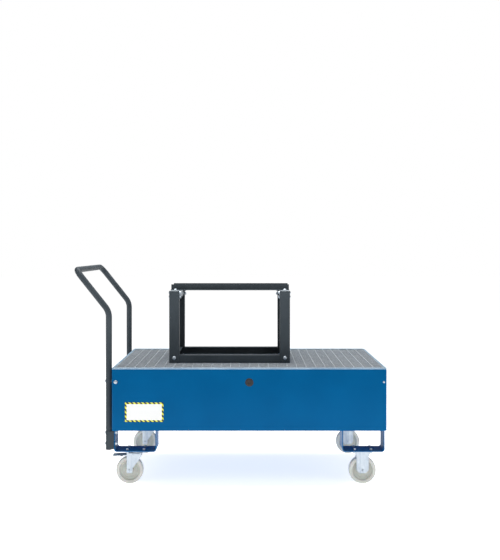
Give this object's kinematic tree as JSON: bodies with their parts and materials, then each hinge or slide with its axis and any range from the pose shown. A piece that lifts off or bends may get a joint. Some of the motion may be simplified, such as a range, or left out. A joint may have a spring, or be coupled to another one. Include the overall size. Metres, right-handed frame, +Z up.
{
  "type": "drum dolly",
  "caption": "Mobile spill-sump trolley with grating deck, push handle, braked swivel casters and a bolted stand that cradles one horizontal drum.",
  "frame": {"origin": "centre of the whole dolly's bounding box, on the floor", "axes": "+X along the length away from the push handle, +Y across to the rear, +Z up"},
  "size_m": [1.4352, 0.814, 1.0022],
  "materials": {
    "blue_powder_coat": "satin blue powder coat with a fine orange peel",
    "anthracite_powder_coat": "matt anthracite grey powder coat",
    "galvanised_steel": "hot-dip galvanised, dull with a faint spangle",
    "zinc_plated_steel": "bright zinc plating on pressed steel",
    "bearing_steel": "polished bearing balls",
    "cast_nylon": "natural cast nylon, faintly translucent cream",
    "black_steel": "black stove enamel, worn on the tread",
    "black_rubber": "matt black moulded rubber",
    "label_film": "white vinyl film with a yellow and black striped border, no text"
  },
  "bodies": {
    "chassis": {"sump_tray": "blue_powder_coat", "deck_ledges": "blue_powder_coat", "deck_beam": "galvanised_steel", "label_plate": "label_film", "foot_bracket_left_front": "blue_powder_coat", "foot_bracket_left_rear": "blue_powder_coat", "foot_bracket_right_front": "blue_powder_coat", "foot_bracket_right_rear": "blue_powder_coat", "push_handle": "anthracite_powder_coat", "handle_end_caps": "black_rubber", "handle_upper_spacers": "anthracite_powder_coat", "handle_lower_saddles": "anthracite_powder_coat", "handle_bolts": "zinc_plated_steel", "handle_nuts": "zinc_plated_steel", "corner_bolts": "zinc_plated_steel", "corner_rivets": "zinc_plated_steel", "caster_bolts": "zinc_plated_steel", "caster_nuts": "zinc_plated_steel", "swivel_top_plates": "zinc_plated_steel", "swivel_balls": "bearing_steel", "kingpins": "zinc_plated_steel", "fixed_fork_front": "zinc_plated_steel", "fixed_fork_rear": "zinc_plated_steel", "fixed_axle_sleeves": "zinc_plated_steel", "fixed_axle_pins": "zinc_plated_steel"},
    "inspection_plug": {"inspection_plug": "black_rubber"},
    "deck_grating": {"grating_bearing_bars": "galvanised_steel", "grating_cross_bars": "galvanised_steel", "grating_borders": "galvanised_steel"},
    "drum_stand": {"upright_left_front": "anthracite_powder_coat", "upright_left_rear": "anthracite_powder_coat", "upright_right_front": "anthracite_powder_coat", "upright_right_rear": "anthracite_powder_coat", "stand_rail_front": "anthracite_powder_coat", "stand_rail_rear": "anthracite_powder_coat", "stand_side_rail_left": "anthracite_powder_coat", "stand_side_rail_right": "anthracite_powder_coat", "bearer_left": "galvanised_steel", "bearer_right": "galvanised_steel", "cradle_rail_front": "anthracite_powder_coat", "cradle_rail_rear": "anthracite_powder_coat", "stand_bolts": "zinc_plated_steel", "stand_nuts": "zinc_plated_steel"},
    "swivel_front": {"swivel_fork_front": "zinc_plated_steel", "swivel_sleeve_front": "zinc_plated_steel", "swivel_axle_pin_front": "zinc_plated_steel", "brake_pivot_front": "zinc_plated_steel"},
    "brake_front": {"brake_pedal_front": "black_steel", "brake_pad_front": "black_rubber"},
    "wheel_left_front": {"wheel_left_front": "cast_nylon"},
    "wheel_right_front": {"wheel_right_front": "cast_nylon"},
    "swivel_rear": {"swivel_fork_rear": "zinc_plated_steel", "swivel_sleeve_rear": "zinc_plated_steel", "swivel_axle_pin_rear": "zinc_plated_steel", "brake_pivot_rear": "zinc_plated_steel"},
    "brake_rear": {"brake_pedal_rear": "black_steel", "brake_pad_rear": "black_rubber"},
    "wheel_left_rear": {"wheel_left_rear": "cast_nylon"},
    "wheel_right_rear": {"wheel_right_rear": "cast_nylon"}
  },
  "joints": [
    {"name": "plug_pull", "type": "slide", "parent": "chassis", "child": "inspection_plug", "axis": [0, -1, 0], "range_m": [0, 0.03]},
    {"name": "grating_lift", "type": "slide", "parent": "chassis", "child": "deck_grating", "axis": [0, 0, 1], "range_m": [0, 0.08]},
    {"name": "stand_lift", "type": "slide", "parent": "deck_grating", "child": "drum_stand", "axis": [0, 0, 1], "range_m": [0, 0.08]},
    {"name": "swivel_front", "type": "hinge", "parent": "chassis", "child": "swivel_front", "pos_m": [-0.4305, -0.308, 0], "axis": [0, 0, 1], "continuous": true},
    {"name": "brake_front", "type": "hinge", "parent": "swivel_front", "child": "brake_front", "pos_m": [-0.444, -0.308, 0.131], "axis": [0, -1, 0], "range_deg": [0, 10]},
    {"name": "roll_left_front", "type": "hinge", "parent": "swivel_front", "child": "wheel_left_front", "pos_m": [-0.4605, -0.308, 0.0625], "axis": [0, 1, 0], "continuous": true},
    {"name": "roll_right_front", "type": "hinge", "parent": "chassis", "child": "wheel_right_front", "pos_m": [0.6155, -0.308, 0.0625], "axis": [0, 1, 0], "continuous": true},
    {"name": "swivel_rear", "type": "hinge", "parent": "chassis", "child": "swivel_rear", "pos_m": [-0.4305, 0.308, 0], "axis": [0, 0, 1], "continuous": true},
    {"name": "brake_rear", "type": "hinge", "parent": "swivel_rear", "child": "brake_rear", "pos_m": [-0.444, 0.308, 0.131], "axis": [0, -1, 0], "range_deg": [0, 10]},
    {"name": "roll_left_rear", "type": "hinge", "parent": "swivel_rear", "child": "wheel_left_rear", "pos_m": [-0.4605, 0.308, 0.0625], "axis": [0, 1, 0], "continuous": true},
    {"name": "roll_right_rear", "type": "hinge", "parent": "chassis", "child": "wheel_right_rear", "pos_m": [0.6155, 0.308, 0.0625], "axis": [0, 1, 0], "continuous": true}
  ]
}
